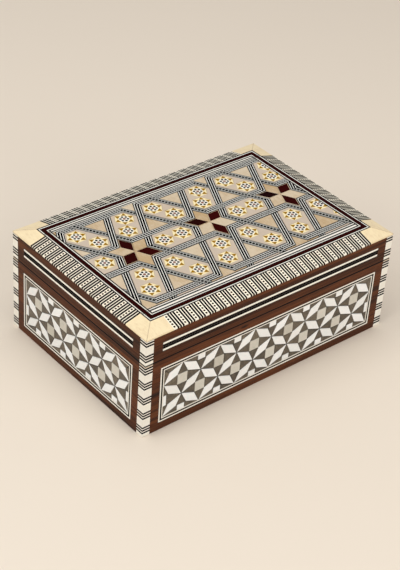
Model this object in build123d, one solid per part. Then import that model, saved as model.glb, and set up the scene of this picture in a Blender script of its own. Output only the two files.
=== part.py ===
from build123d import *
import os
from math import cos, hypot, pi, radians, sin, tan

# Inlaid chest box: a mitred wooden base and a hinged lid, both dressed with bone, pearl and dark wood.
# Millimetres, +Z up. The origin is the middle of the underside, the front faces -Y, the hinges are at +Y.

# Outside of the box
box_width = 200
box_depth = 138
base_height = 54
lid_rim_height = 18
border_width = 10.5
border_rise = 3
veneer_thickness = 1
seam_arris = 0.3

# Boards
wall_thickness = 8
floor_thickness = 4
floor_seat = 3
lid_inside_depth = 13
top_board_lip = 4

# Corner strips
strip_width = 5.6
strip_thickness = 1.2
strip_line = 0.98
strip_block = 6.3
base_strip_foot = 2.8
lid_strip_foot = 2.8
lines_in_group = 3

# Mosaic panel on each wall of the base
panel_side_margin = 12
panel_bottom_margin = 6
panel_top_margin = 6.4
outer_string = 1.1
dark_string = 0.9
inner_string = 0.8
mosaic_thickness = 1
bed_thickness = 0.2
long_wall_columns = 6
short_wall_columns = 4
mosaic_rows = 3
square_side = 7.8
border_block_width = 5.8
side_block_width = 2.6
mosaic_joint = 0.3

# Inlaid band on each rim board of the lid
band_end_margin = 12.5
band_height_above_seam = 6.2
band_bone_line = 1.4
band_dark_line = 3.3
band_depth = 1

# Striped border of the lid
bone_corner_arm = 20

# Frame round the star field
frame_dark_line = 0.7
frame_bone_line = 1
frame_red_band = 2.8
back_rail_wide = 1.3
back_rail_dark = 0.7
back_rail_bone = 0.9
front_rail_wide = 1.8
front_rail_dark = 0.8
front_rail_bone = 1.2
front_rail_edge = 0.7
field_bed_thickness = 0.2

# Star field: stars stand on a slanting grid, and straps run beside each row of stars.
# Its sizes go with the drawn distance between rows, and the whole drawing is scaled to the field's depth.
star_row_distance_drawn = 57
star_pitch = 60.2
star_row_lean = 3.4
star_shift_right = 7.2
star_shift_back = 4.4
star_tip_show = 0.5
strap_offset = 11.6
strap_width = 5.4
strap_joint = 0.1
rhomb_joint = 0.2
rhomb_outline = 0.9
triangle_joint = 0.2
medallion_radius = 6.9
medallion_spacing = 14.2
medallion_joint = 0.1
smallest_tile_side = 1.4

# Velvet lining
lining_thickness = 1.5
lining_pad_thickness = 2
lining_below_rim = 1.5
lining_gap = 0.2

# Hinges
hinge_length = 25
hinge_from_end = 38
knuckle_count = 3
pin_inset = 0.6
pin_radius = 1
barrel_radius = 2
pin_clearance = 0.05
barrel_clearance = 0.3
knuckle_gap = 0.2
leaf_thickness = 0.9
leaf_width = 6
leaf_recess = 1
leaf_clearance = 0.1
bevel_angle = 51

# Reach of every cutter past the face that it cuts
overrun = 5

# Heights and half sizes that several pieces share
half_width = box_width / 2
half_depth = box_depth / 2
seam = base_height
rim_top = seam + lid_rim_height
plateau = rim_top + border_rise
lid_top = plateau + veneer_thickness
ceiling = seam + lid_inside_depth
pin_back = half_depth - pin_inset
plateau_half_width = half_width - border_width
plateau_half_depth = half_depth - border_width
panel_depth = mosaic_thickness + bed_thickness

parts = {}


def block(x0, x1, y0, y1, z0, z1):
    """Block between two corners."""
    middle = Pos((x0 + x1) / 2, (y0 + y1) / 2, (z0 + z1) / 2)
    return middle * Box(x1 - x0, y1 - y0, z1 - z0)


def tile(plane, outline, depth):
    """Flat piece on a plane, reaching down from it by its depth."""
    corners = [plane.from_local_coords(Vector(a, b, 0)) for a, b in outline]
    return Solid.extrude(Face(Wire.make_polygon(corners)), plane.z_dir * -depth)


def add(name, *shapes):
    """Put the solids of some shapes in a node."""
    for shape in shapes:
        parts.setdefault(name, []).extend(shape.solids())


def area(outline):
    """Signed area of a flat outline, positive when it runs anticlockwise."""
    pairs = zip(outline, outline[1:] + outline[:1])
    return sum(ax * by - bx * ay for (ax, ay), (bx, by) in pairs) / 2


def inset(outline, amount):
    """Convex outline with every edge moved inwards by the same amount."""
    corners = outline if area(outline) > 0 else outline[::-1]
    edges = []
    for (ax, ay), (bx, by) in zip(corners, corners[1:] + corners[:1]):
        length = hypot(bx - ax, by - ay)
        nx, ny = (ay - by) / length, (bx - ax) / length
        edges.append((nx, ny, nx * ax + ny * ay + amount))
    moved = []
    for (ax, ay, a), (bx, by, b) in zip(edges[-1:] + edges[:-1], edges):
        cross = ax * by - ay * bx
        moved.append(((a * by - b * ay) / cross, (b * ax - a * bx) / cross))
    return moved


def clip(outline, half_x, low_y, high_y):
    """Outline cut off at the four sides of an upright rectangle."""
    for nx, ny, reach in ((1, 0, half_x), (-1, 0, half_x), (0, 1, high_y), (0, -1, -low_y)):
        kept = []
        for (ax, ay), (bx, by) in zip(outline, outline[1:] + outline[:1]):
            a = reach - nx * ax - ny * ay
            b = reach - nx * bx - ny * by
            if a >= 0:
                kept.append((ax, ay))
            if a * b < 0:
                share = a / (a - b)
                kept.append((ax + share * (bx - ax), ay + share * (by - ay)))
        outline = kept
        if not outline:
            break
    return outline


# Wall planes: local x runs to the right as seen from outside, local y runs up
walls = {
    "front": Plane((0, -half_depth, 0), (1, 0, 0), (0, -1, 0)),
    "back": Plane((0, half_depth, 0), (-1, 0, 0), (0, 1, 0)),
    "left": Plane((-half_width, 0, 0), (0, -1, 0), (-1, 0, 0)),
    "right": Plane((half_width, 0, 0), (0, 1, 0), (1, 0, 0)),
}
half_lengths = {"front": half_width, "back": half_width, "left": half_depth, "right": half_depth}
columns = {
    "front": long_wall_columns,
    "back": long_wall_columns,
    "left": short_wall_columns,
    "right": short_wall_columns,
}

# Plan of the four mitred sides: each runs from its wall to the ridge where the mitres meet
ridge = half_width - half_depth
mitre_plans = {
    "front": [(-half_width, -half_depth), (half_width, -half_depth), (ridge, 0), (-ridge, 0)],
    "back": [(half_width, half_depth), (-half_width, half_depth), (-ridge, 0), (ridge, 0)],
    "left": [(-half_width, half_depth), (-half_width, -half_depth), (-ridge, 0)],
    "right": [(half_width, -half_depth), (half_width, half_depth), (ridge, 0)],
}
mitres = {side: tile(Plane((0, 0, lid_top)), plan, lid_top) for side, plan in mitre_plans.items()}


def eased_box(z0, z1):
    """Outer box with eased edges at both ends."""
    shape = block(-half_width, half_width, -half_depth, half_depth, z0, z1)
    ends = shape.edges().group_by(Axis.Z)
    return chamfer(ends[0] + ends[-1], seam_arris)


def back_bevel(up):
    """Wedge that eases the back edge at the seam, above it for the lid and below it for the base."""
    reach = pin_inset + overrun
    rise = up * reach * tan(radians(bevel_angle))
    corners = [(pin_back, seam), (pin_back + reach, seam), (pin_back + reach, seam + rise)]
    outline = Wire.make_polygon([Vector(-half_width - overrun, y, z) for y, z in corners])
    return Solid.extrude(Face(outline), Vector(box_width + 2 * overrun, 0, 0))


def corner_angles(z0, z1):
    """Four upright angle pieces that wrap the corners where the corner strips lie."""
    angles = []
    for sx in (-1, 1):
        for sy in (-1, 1):
            ring = []
            for reach in (0, strip_thickness):
                x0, x1 = sorted((sx * (half_width - reach), sx * (half_width - strip_width)))
                y0, y1 = sorted((sy * (half_depth - reach), sy * (half_depth - strip_width)))
                ring.append(block(x0, x1, y0, y1, z0, z1))
            angles.append(ring[0] - ring[1])
    return angles


def corner_strips(name, envelope, z0, z1, foot):
    """Bone blocks and dark lines stacked up round each corner, from a bone foot."""
    layers = [("bone", foot)]
    height = foot
    while height < z1 - z0:
        for line in range(lines_in_group):
            layers.append(("ebony", strip_line))
            if line < lines_in_group - 1:
                layers.append(("bone", strip_line))
        layers.append(("bone", strip_block))
        height += (2 * lines_in_group - 1) * strip_line + strip_block
    low = z0
    for kind, thickness in layers:
        high = min(low + thickness, z1)
        if high - low > strip_line / 2:
            add(f"{name}_{kind}", *[envelope & angle for angle in corner_angles(low, high)])
        low = low + thickness


def wall_box(side, a0, a1, b0, b1, depth):
    """Shallow block let into the outside of a wall."""
    return tile(walls[side], [(a0, b0), (a1, b0), (a1, b1), (a0, b1)], depth)


def string_ring(side, reach, low, high, width, depth):
    """Rectangular string of one width let into a wall."""
    outer = wall_box(side, -reach, reach, low, high, depth)
    return outer - wall_box(side, width - reach, reach - width, low + width, high - width, depth)


# Base: outer form, then the boards
base_form = eased_box(0, seam) - back_bevel(-1)
inner_half_width = half_width - wall_thickness
inner_half_depth = half_depth - wall_thickness
base_wood = base_form - block(
    -inner_half_width, inner_half_width, -inner_half_depth, inner_half_depth, -overrun, seam + overrun
)
floor_half_width = inner_half_width + floor_seat
floor_half_depth = inner_half_depth + floor_seat
floor_board = block(
    -floor_half_width, floor_half_width, -floor_half_depth, floor_half_depth, 0, floor_thickness
)
add("base_floor_board", floor_board)
base_wood = base_wood - floor_board
for angle in corner_angles(0, seam):
    base_wood = base_wood - angle
corner_strips("base_strip", base_form, 0, seam, base_strip_foot)

# Lid: outer form with the hipped edge, then the boards
lid_box = eased_box(seam, plateau)
hip = loft(
    [
        Plane((0, 0, rim_top)) * Rectangle(box_width, box_depth),
        Plane((0, 0, plateau)) * Rectangle(2 * plateau_half_width, 2 * plateau_half_depth),
    ]
)
hip_form = block(-half_width, half_width, -half_depth, half_depth, seam, rim_top) + hip
lid_form = (lid_box & hip_form) - back_bevel(1)
lid_wood = lid_form - block(
    -inner_half_width, inner_half_width, -inner_half_depth, inner_half_depth, seam - overrun, ceiling
)
top_half_width = half_width - top_board_lip
top_half_depth = half_depth - top_board_lip
top_space = block(-top_half_width, top_half_width, -top_half_depth, top_half_depth, ceiling, lid_top)
add("lid_top_board", lid_form & top_space)
lid_wood = lid_wood - top_space
for angle in corner_angles(seam, lid_top):
    lid_wood = lid_wood - angle
corner_strips("lid_strip", lid_form, seam, plateau, lid_strip_foot)

# Hinge seats in both back edges
hinge_middles = {"left": hinge_from_end - half_width, "right": half_width - hinge_from_end}
seat_half_length = hinge_length / 2 + leaf_clearance
pocket_half_length = hinge_length / 2 + barrel_clearance
seat_front = pin_back - leaf_width - leaf_clearance


def along_pin(x0, x1, radius):
    """Round bar on the pin's axis."""
    middle = Pos((x0 + x1) / 2, pin_back, seam) * Rot(0, 90, 0)
    return middle * Cylinder(radius, x1 - x0)


for middle in hinge_middles.values():
    pocket_radius = barrel_radius + barrel_clearance
    pocket = along_pin(middle - pocket_half_length, middle + pocket_half_length, pocket_radius)
    seat = block(
        middle - seat_half_length,
        middle + seat_half_length,
        seat_front,
        half_depth + overrun,
        seam - leaf_recess,
        seam + leaf_recess,
    )
    base_wood = base_wood - pocket - seat
    lid_wood = lid_wood - pocket - seat


def leaf(middle, up, own_knuckles):
    """Hinge leaf with every other knuckle, cut away round the knuckles of the other leaf."""
    low, high = sorted((seam + up * leaf_recess, seam + up * (leaf_recess - leaf_thickness)))
    end = hinge_length / 2
    shape = block(middle - end, middle + end, pin_back - leaf_width, pin_back, low, high)
    knuckle = hinge_length / knuckle_count
    for number in range(knuckle_count):
        x0 = middle - end + number * knuckle
        x1 = x0 + knuckle
        first, last = number == 0, number == knuckle_count - 1
        if number % 2 == own_knuckles:
            x0 = x0 + (0 if first else knuckle_gap / 2)
            x1 = x1 - (0 if last else knuckle_gap / 2)
            shape = shape + along_pin(x0, x1, barrel_radius)
        else:
            x0 = x0 - (overrun if first else knuckle_gap / 2)
            x1 = x1 + (overrun if last else knuckle_gap / 2)
            shape = shape - along_pin(x0, x1, barrel_radius + knuckle_gap)
    return shape - along_pin(middle - hinge_length, middle + hinge_length, pin_radius + pin_clearance)


for side, middle in hinge_middles.items():
    add(f"hinge_{side}_base_leaf", leaf(middle, -1, 0))
    add(f"hinge_{side}_lid_leaf", leaf(middle, 1, 1))
    add(f"hinge_{side}_pin", along_pin(middle - hinge_length / 2, middle + hinge_length / 2, pin_radius))

# Mosaic of one wall, drawn from the lower left corner of the space inside the strings
panel_low = panel_bottom_margin
panel_high = seam - panel_top_margin
string_width = outer_string + dark_string + inner_string
mosaic_low = panel_low + string_width
row_height = (panel_high - panel_low - 2 * string_width) / mosaic_rows


def petal(start, end, lean_x, lean_y):
    """Slim four-sided petal between two nodes, with its blunt corners at the corners of the squares."""
    mx, my = (start[0] + end[0]) / 2, (start[1] + end[1]) / 2
    return [start, (mx + lean_x, my + lean_y), end, (mx - lean_x, my - lean_y)]


def mosaic(count, pitch):
    """Outlines of the petals, squares, border blocks and ground triangles of one panel."""
    half = square_side / 2
    lean_x = pitch / 4 - half
    lean_y = row_height / 2 - half
    width = count * pitch
    height = mosaic_rows * row_height
    petals, squares, blocks, ground = [], [], [], []
    for n in range(count):
        left, middle, right = n * pitch, (n + 0.5) * pitch, (n + 1) * pitch
        for top, bottom in (((middle, height), (left, 2 * row_height)), ((middle, row_height), (left, 0))):
            petals.append(petal(top, bottom, -lean_x, lean_y))
            petals.append(petal(top, (right, bottom[1]), lean_x, lean_y))
        petals.append(petal((left, 2 * row_height), (middle, row_height), lean_x, lean_y))
        petals.append(petal((right, 2 * row_height), (middle, row_height), -lean_x, lean_y))
    whole = [((n + 0.5) * pitch, 2 * row_height) for n in range(count)]
    whole += [(n * pitch, row_height) for n in range(1, count)]
    for x, y in whole:
        ring = [(x - half, y - half), (x + half, y - half), (x + half, y + half), (x - half, y + half)]
        nodes = [(x, y - row_height), (x + pitch / 2, y), (x, y + row_height), (x - pitch / 2, y)]
        squares.append(ring)
        for n, node in enumerate(nodes):
            ground.append([node, ring[n], ring[(n + 1) % 4]])
    halves = [(n * pitch, height, -1) for n in range(1, count)]
    halves += [((n + 0.5) * pitch, 0, 1) for n in range(count)]
    reach = border_block_width / 2
    for x, y, up in halves:
        inside = y + up * half
        blocks.append([(x - reach, y), (x + reach, y), (x + reach, inside), (x - reach, inside)])
        ground.append([(x, y + up * row_height), (x - half, inside), (x + half, inside)])
        for turn in (-1, 1):
            side = x + turn * reach
            ground.append([(x + turn * pitch / 2, y), (x + turn * half, inside), (side, inside), (side, y)])
    for edge, turn in ((0, 1), (width, -1)):
        inside = edge + turn * half
        beside = edge + turn * side_block_width
        low, high = row_height - half, row_height + half
        blocks.append([(edge, low), (beside, low), (beside, high), (edge, high)])
        node = (edge + turn * pitch / 2, row_height)
        ground.append([node, (inside, high), (beside, high), (beside, low), (inside, low)])
        ground.append([(edge, 2 * row_height), (edge, high), (inside, high)])
        ground.append([(edge, 0), (edge, low), (inside, low)])
        corner = (inside, height - half)
        ground.append([(edge, 2 * row_height), (edge, height), corner])
        ground.append([(edge + turn * pitch / 2, height), (edge, height), corner])
    return petals, squares, blocks, ground


for side, plane in walls.items():
    reach = half_lengths[side] - panel_side_margin
    base_wood = base_wood - wall_box(side, -reach, reach, panel_low, panel_high, panel_depth)
    low, high = panel_low, panel_high
    for kind, width in (("bone", outer_string), ("ebony", dark_string), ("bone", inner_string)):
        add(f"base_{kind}_strings", string_ring(side, reach, low, high, width, panel_depth))
        reach, low, high = reach - width, low + width, high - width
    bed_plane = plane.offset(-mosaic_thickness)
    bed_outline = [(-reach, low), (reach, low), (reach, high), (-reach, high)]
    add("mosaic_beds", tile(bed_plane, bed_outline, bed_thickness))
    petals, squares, blocks, ground = mosaic(columns[side], 2 * reach / columns[side])
    for name, outlines in (
        (f"{side}_pearl_petals", petals + blocks),
        (f"{side}_grey_squares", squares),
        (f"{side}_horn_ground", ground),
    ):
        for outline in outlines:
            placed = [(a - reach, b + mosaic_low) for a, b in inset(outline, mosaic_joint / 2)]
            add(name, tile(plane, placed, mosaic_thickness))

# Inlaid band on each rim board of the lid
band_low = seam + band_height_above_seam
for side in walls:
    reach = half_lengths[side] - band_end_margin
    low = band_low
    for kind, width in (("bone", band_bone_line), ("ebony", band_dark_line), ("bone", band_bone_line)):
        line = wall_box(side, -reach, reach, low, low + width, band_depth)
        lid_wood = lid_wood - line
        add(f"lid_band_{kind}", line)
        low = low + width

for side, mitre in mitres.items():
    add(f"base_{side}_board", base_wood & mitre)
    add(f"lid_{side}_board", lid_wood & mitre)

# Veneer over the hipped edge: striped strips between bone corners
plateau_block = block(
    -plateau_half_width, plateau_half_width, -plateau_half_depth, plateau_half_depth, seam, lid_top + overrun
)
raised_form = block(-half_width, half_width, -half_depth, half_depth, rim_top, rim_top + veneer_thickness)
raised_form = raised_form + Pos(0, 0, veneer_thickness) * hip
border_ring = raised_form - hip - plateau_block
arms = {
    "front": half_width - bone_corner_arm,
    "back": half_width - bone_corner_arm,
    "left": half_depth - bone_corner_arm,
    "right": half_depth - bone_corner_arm,
}
for side, mitre in mitres.items():
    along_x = side in ("front", "back")
    reach_x = arms[side] if along_x else half_width
    reach_y = half_depth if along_x else arms[side]
    middle = block(-reach_x, reach_x, -reach_y, reach_y, seam, lid_top)
    quarter = border_ring & mitre
    add(f"lid_border_{side}", quarter & middle)
    add("lid_bone_corners", quarter - middle)

# Frame round the star field, from the outside in
frame_reach_x, frame_reach_y = plateau_half_width, plateau_half_depth
for kind, width in (
    ("ebony", frame_dark_line),
    ("bone", frame_bone_line),
    ("red", frame_red_band),
    ("bone", frame_bone_line),
    ("ebony", frame_dark_line),
):
    inner_x, inner_y = frame_reach_x - width, frame_reach_y - width
    ring = block(-frame_reach_x, frame_reach_x, -frame_reach_y, frame_reach_y, plateau, lid_top)
    add(f"lid_frame_{kind}", ring - block(-inner_x, inner_x, -inner_y, inner_y, plateau, lid_top))
    frame_reach_x, frame_reach_y = inner_x, inner_y
rails = {
    1: (("bone", back_rail_wide), ("ebony", back_rail_dark), ("bone", back_rail_bone)),
    -1: (
        ("bone", front_rail_wide),
        ("ebony", front_rail_dark),
        ("bone", front_rail_bone),
        ("ebony", front_rail_edge),
    ),
}
field_ends = {}
for turn, lines in rails.items():
    reach = frame_reach_y
    for kind, width in lines:
        y0, y1 = sorted((turn * reach, turn * (reach - width)))
        add(f"lid_frame_{kind}", block(-frame_reach_x, frame_reach_x, y0, y1, plateau, lid_top))
        reach = reach - width
    field_ends[turn] = turn * reach
field_front, field_back = field_ends[-1], field_ends[1]
bed_top = plateau + field_bed_thickness
add("lid_field_bed", block(-frame_reach_x, frame_reach_x, field_front, field_back, plateau, bed_top))

# Star field. Places on the slanting grid are (s, t): s counts stars along a row, t counts rows
field_plane = Plane((0, 0, lid_top))
tessera_depth = veneer_thickness - field_bed_thickness
offset_share = strap_offset / star_row_distance_drawn
edge_share = strap_width / 2 / star_row_distance_drawn
strap_reach_share = offset_share - edge_share
star_row_distance = ((field_back - field_front) / 2 - star_tip_show) / (1 - strap_reach_share)
drawing_scale = star_row_distance / star_row_distance_drawn
strap_reach = strap_reach_share * star_row_distance - star_tip_show
star_row_distance_back = field_back - star_shift_back + strap_reach
star_row_distance_front = star_shift_back - field_front + strap_reach
pitch = star_pitch * drawing_scale
lean = star_row_lean * drawing_scale
eye_radius = medallion_radius * drawing_scale
smallest_tile_area = smallest_tile_side**2


def on_field(s, t):
    """Point of the field from its place on the star grid."""
    row_distance = star_row_distance_back if t > 0 else star_row_distance_front
    x = star_shift_right + s * pitch + t * (pitch / 2 - lean)
    return (x, star_shift_back + t * row_distance)


def turned(outline, times):
    """Outline turned by thirds of a circle about the grid's origin."""
    for _ in range(times):
        outline = [(-s - t, s) for s, t in outline]
    return outline


def add_tile(name, outline, joint):
    """Tessera of the field, cut off at the frame, if enough of it is left."""
    kept = clip(inset(outline, joint / 2), frame_reach_x, field_front, field_back)
    if len(kept) > 2 and abs(area(kept)) > smallest_tile_area:
        add(name, tile(field_plane, kept, tessera_depth))


def medallion(x, y, radius):
    """Outline of a six-sided medallion, with its corners along the straps."""
    return [(x + radius * cos(n * pi / 3), y + radius * sin(n * pi / 3)) for n in range(6)]


k, e = offset_share, edge_share  # where a strap's middle lies beside its row, and half a strap's width
strap_long = [(0, k - e), (1 - 2 * k, k - e), (1 - 2 * k - 2 * e, k + e), (0, k + e)]
strap_short = [(1 - 2 * k + 2 * e, k - e), (1 - k + e, k - e), (1 - k - e, k + e), (1 - 2 * k, k + e)]
cell = [(k + e, 0), (k + e, k - e), (1 - 2 * k, k - e), (1 - k - e, 0), (1 - k - e, e - k), (2 * k, e - k)]
triangle = [(k + e, k + e), (1 - 2 * k - 2 * e, k + e), (k + e, 1 - 2 * k - 2 * e)]
star_arms = [(1, 0), (0, 1), (-1, 1), (-1, 0), (0, -1), (1, -1)]
first_full_star = -1
last_full_star = 1
grid_reach = range(-3, 4)

for i in grid_reach:
    for j in grid_reach:
        for n in range(6):
            (s0, t0), (s1, t1) = star_arms[n], star_arms[(n + 1) % 6]
            corners = [(0, 0), (s0, t0), (s0 + s1, t0 + t1), (s1, t1)]
            outline = [on_field(i + (k - e) * s, j + (k - e) * t) for s, t in corners]
            whole_star = j == 0 and first_full_star <= i <= last_full_star
            red = whole_star and (n % 2 == 1) == (i == first_full_star)
            joint = rhomb_outline if red else rhomb_joint
            add_tile("lid_star_red_rhombs" if red else "lid_star_bone_rhombs", outline, joint)
        for flip in (1, -1):
            outline = [(i + 0.5 + flip * (s - 0.5), j + 0.5 + flip * (t - 0.5)) for s, t in triangle]
            add_tile("lid_bone_triangles", [on_field(s, t) for s, t in outline], triangle_joint)
        for times in range(3):
            for bar in (strap_long, strap_short):
                for flip in (1, -1):
                    outline = turned([(0.5 + flip * (s - 0.5), flip * t) for s, t in bar], times)
                    add_tile("lid_straps", [on_field(i + s, j + t) for s, t in outline], strap_joint)
            outline = [on_field(i + s, j + t) for s, t in turned(cell, times)]
            kept = clip(inset(outline, triangle_joint / 2), frame_reach_x, field_front, field_back)
            if len(kept) < 3 or abs(area(kept)) < smallest_tile_area:
                continue
            plate = tile(field_plane, kept, tessera_depth)
            (ax, ay), (bx, by) = [on_field(i + s, j + t) for s, t in turned([(0, 0), (1, 0)], times)]
            for turn in (-1, 1):
                share = (1 + turn * medallion_spacing / star_pitch) / 2
                x, y = ax + share * (bx - ax), ay + share * (by - ay)
                eye = clip(medallion(x, y, eye_radius), frame_reach_x, field_front, field_back)
                if len(eye) < 3 or abs(area(eye)) < smallest_tile_area:
                    continue
                hole = medallion(x, y, eye_radius + medallion_joint)
                plate = plate - tile(field_plane, hole, tessera_depth)
                add("lid_medallions", tile(field_plane, eye, tessera_depth))
            add("lid_field_ground", plate)

# Velvet lining of the base and the lid: a pad on the flat, boards round the walls
pad_half_width = inner_half_width - lining_gap
pad_half_depth = inner_half_depth - lining_gap
pad_top = floor_thickness + lining_pad_thickness
add(
    "base_lining_pad",
    block(-pad_half_width, pad_half_width, -pad_half_depth, pad_half_depth, floor_thickness, pad_top),
)
add(
    "lid_lining_pad",
    block(
        -pad_half_width,
        pad_half_width,
        -pad_half_depth,
        pad_half_depth,
        ceiling - lining_pad_thickness,
        ceiling,
    ),
)
for name, low, high in (
    ("base_lining_walls", pad_top, seam - lining_below_rim),
    ("lid_lining_walls", seam + lining_below_rim, ceiling - lining_pad_thickness),
):
    ring = block(-pad_half_width, pad_half_width, -pad_half_depth, pad_half_depth, low, high)
    hollow_half_width = pad_half_width - lining_thickness
    hollow_half_depth = pad_half_depth - lining_thickness
    ring = ring - block(
        -hollow_half_width, hollow_half_width, -hollow_half_depth, hollow_half_depth, low, high
    )
    for mitre in mitres.values():
        add(name, ring & mitre)

os.makedirs("parts", exist_ok=True)
for name, solids in parts.items():
    export_step(Compound(children=solids), f"parts/{name}.step")
print(len(parts), "nodes,", sum(len(solids) for solids in parts.values()), "solids")
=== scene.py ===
import random
from math import atan2, cos, hypot, pi, radians, sin

import bmesh
import bpy
from bpy.props import FloatProperty, FloatVectorProperty, IntProperty, PointerProperty
from bpy.types import Operator, Panel, PropertyGroup
from mathutils import Matrix, Vector


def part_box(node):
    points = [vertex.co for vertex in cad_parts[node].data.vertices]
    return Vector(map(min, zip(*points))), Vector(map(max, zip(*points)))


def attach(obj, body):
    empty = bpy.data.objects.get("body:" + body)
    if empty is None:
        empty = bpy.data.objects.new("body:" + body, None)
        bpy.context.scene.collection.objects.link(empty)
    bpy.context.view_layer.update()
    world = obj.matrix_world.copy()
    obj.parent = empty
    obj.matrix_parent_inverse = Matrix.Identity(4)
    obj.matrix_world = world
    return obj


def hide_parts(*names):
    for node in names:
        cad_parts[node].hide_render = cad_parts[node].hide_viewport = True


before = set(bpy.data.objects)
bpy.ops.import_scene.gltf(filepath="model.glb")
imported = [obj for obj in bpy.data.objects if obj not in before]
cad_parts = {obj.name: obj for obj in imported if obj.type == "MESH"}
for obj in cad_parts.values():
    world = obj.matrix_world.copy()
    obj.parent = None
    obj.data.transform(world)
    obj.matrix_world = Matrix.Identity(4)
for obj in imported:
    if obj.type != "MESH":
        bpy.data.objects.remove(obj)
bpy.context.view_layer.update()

bl_info = {
    "name": "Inlaid Chest Box",
    "version": (1, 0, 0),
    "blender": (4, 5, 0),
    "location": "View3D > Sidebar > Chest Box",
    "description": "Dresses the chest box in wood, pearl, horn, bone, ebony, velvet and brass",
    "category": "Object",
}

# Edges of the box and of its star field, read from the frame
half_width, half_depth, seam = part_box("base_strip_bone")[1]
lid_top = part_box("lid_field_ground")[1].z
(field_left, field_front, _), (field_right, field_back, bed_top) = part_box("lid_field_bed")
field_limits = ((1, 0, field_right), (-1, 0, -field_left), (0, 1, field_back), (0, -1, -field_front))

# Mosaic panels, the same as in the solids
panel_reach_inset = 0.0148
mosaic_low = 0.0088
row_height = 0.012
mosaic_rows = 3
square_side = 0.0078
border_block_width = 0.0058
side_block_width = 0.0026
mosaic_joint = 0.0003
mosaic_thickness = 0.001
mosaic_columns = {"front": 6, "back": 6, "left": 4, "right": 4}
wall_reach = {"front": half_width, "back": half_width, "left": half_depth, "right": half_depth}

# Star field, the same as in the solids
star_pitch = 0.0602
star_row_lean = 0.0034
star_shift_right = 0.0072
star_shift_back = 0.0044
row_back = 0.0534
row_front = 0.0606
strap_offset = 0.0116
strap_width = 0.0054
strap_joint = 0.0001
rhomb_joint = 0.0002
rhomb_outline = 0.0009
rhomb_step = 0.0001
triangle_joint = 0.0002
medallion_radius = 0.0069
medallion_spacing = 0.0142
medallion_hub = 0.0001
heart_share = 1.15
smallest_tile_area = 0.0014 ** 2
sharpest_corner = 0.05

# Cross-section of the lid's sloping border
border_width = 0.0105
border_rise = 0.003
border_edge = 0.001
bone_corner_arm = 0.02
border_low = lid_top - border_edge - border_rise
border_slope = atan2(border_rise, border_width)
border_slope_length = hypot(border_width, border_rise)
border_dots = 5
border_dot_step = border_slope_length / 5.4

# Hinges and their screws
hinge_middle = 0.062
leaf_gap = 0.0001
screw_spread = 0.0065
screw_back = 0.0648
screw_rise = 0.7 * leaf_gap
screw_first_turn = 0.4
screw_next_turn = 0.9

# Where the lid's bands and the mosaic panels lie on the walls
band_end_margin = 0.0125
band_low = seam + 0.0062
band_high = band_low + 0.0061
band_tick = 0.0012
band_tick_reach = 0.0003
tick_gap_share = 0.68
panel_side_margin = 0.012
panel_low = 0.006
panel_high = 0.0476

# Painted shade and wear along the seam, and glue round the bands and panels
seam_ease = 0.0003
seam_shadow = 0.0004
worn_rim = 0.0008
glue_width = 0.00024

# Layers of a corner strip, from its foot up
strip_foot = 0.0028
strip_line = 0.00098
strip_block = 0.0063
strip_glue = 0.00015
strip_group = 5 * strip_line
strip_period = strip_group + strip_block

# Edges of the strings and of the frame's lines, from the outermost edge inwards
string_edges = (0.0011, 0.002)
frame_edges = (0.0007, 0.0017, 0.0045, 0.0055, 0.0062)
front_rail_edges = (0.008, 0.0088, 0.01)
back_rail_edges = (0.0075, 0.0082, 0.0091)
frame_glue = 0.0002
red_band_width = 0.0028
red_band_core = 0.34

# Lines of a strap, from its middle outwards, and its dashes: their slant, share of a pitch and rate
strap_middle = 0.0002
strap_single = 0.0009
strap_rows = 0.00146
strap_edge = 0.00184
dash_slant = 0.2
row_dash_share = 0.84
single_dash_share = 0.72
single_dash_rate = 0.9
edge_dash_share = 0.75
edge_dash_rate = 1.5

# Velvet boards: their thickness on the walls, the distance between their points, and how they swell
lining_thickness = 0.0015
lining_grid = 0.004
lining_crown_reach = 5
lining_flat_share = 0.86
lining_crown_share = 0.1
lining_wave_share = 0.04
lining_waves = ((130, 40), (-60, 170))

# Dark knot in the front board
knot_place = -0.024
knot_length = 0.0042
knot_width = 0.0013
knot_drop = 0.0031

# Gloss of the lacquered wood and of the dark inlay
lacquer = {"Coat Weight": 0.03, "Coat Roughness": 0.2, "Specular IOR Level": 0.1}
dull = {"Specular IOR Level": 0.01}

# Camera: its angles in degrees, its place along its own axes, and its focal length in pixels
camera_turn = -41.612
camera_rise = 35.136
camera_roll = 4.256
camera_place = (0.00094, 0.02592, 0.98837)
camera_focus = 1490.2
camera_sensor = 36
picture_height = 570

# Floor, light of the room, and lamps with their name, place, size, power and tint
floor_reach = 4.0
room_light = 0.42
warm_white = (1.0, 0.995, 0.985)
cool_white = (0.95, 0.985, 1.0)
lamps = (
    ("key_lamp", (-1.2, 0.1, 1.1), 1.1, 10.0, cool_white),
    ("fill_lamp", (0.2, -1.4, 0.8), 1.0, 8.0, warm_white),
    ("top_lamp", (-0.1, 0.0, 1.5), 1.2, 7.0, warm_white),
)


def linear(*parts):
    """Colour of a screen, given in parts of 255, as linear light."""
    shares = [part / 255 for part in parts]
    return tuple(s / 12.92 if s <= 0.04045 else ((s + 0.055) / 1.055) ** 2.4 for s in shares)


def length(name, description, default):
    """Length that a user may change."""
    settings = {"default": default, "min": 0, "unit": "LENGTH", "precision": 5}
    return FloatProperty(name=name, description=description, **settings)


def number(name, description, default):
    """Number of repeats that a user may change."""
    return IntProperty(name=name, description=description, default=default, min=2)


def colour(name, description, *parts):
    """Colour that a user may change."""
    settings = {"default": linear(*parts), "min": 0, "max": 1, "subtype": "COLOR"}
    return FloatVectorProperty(name=name, description=description, **settings)


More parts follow.
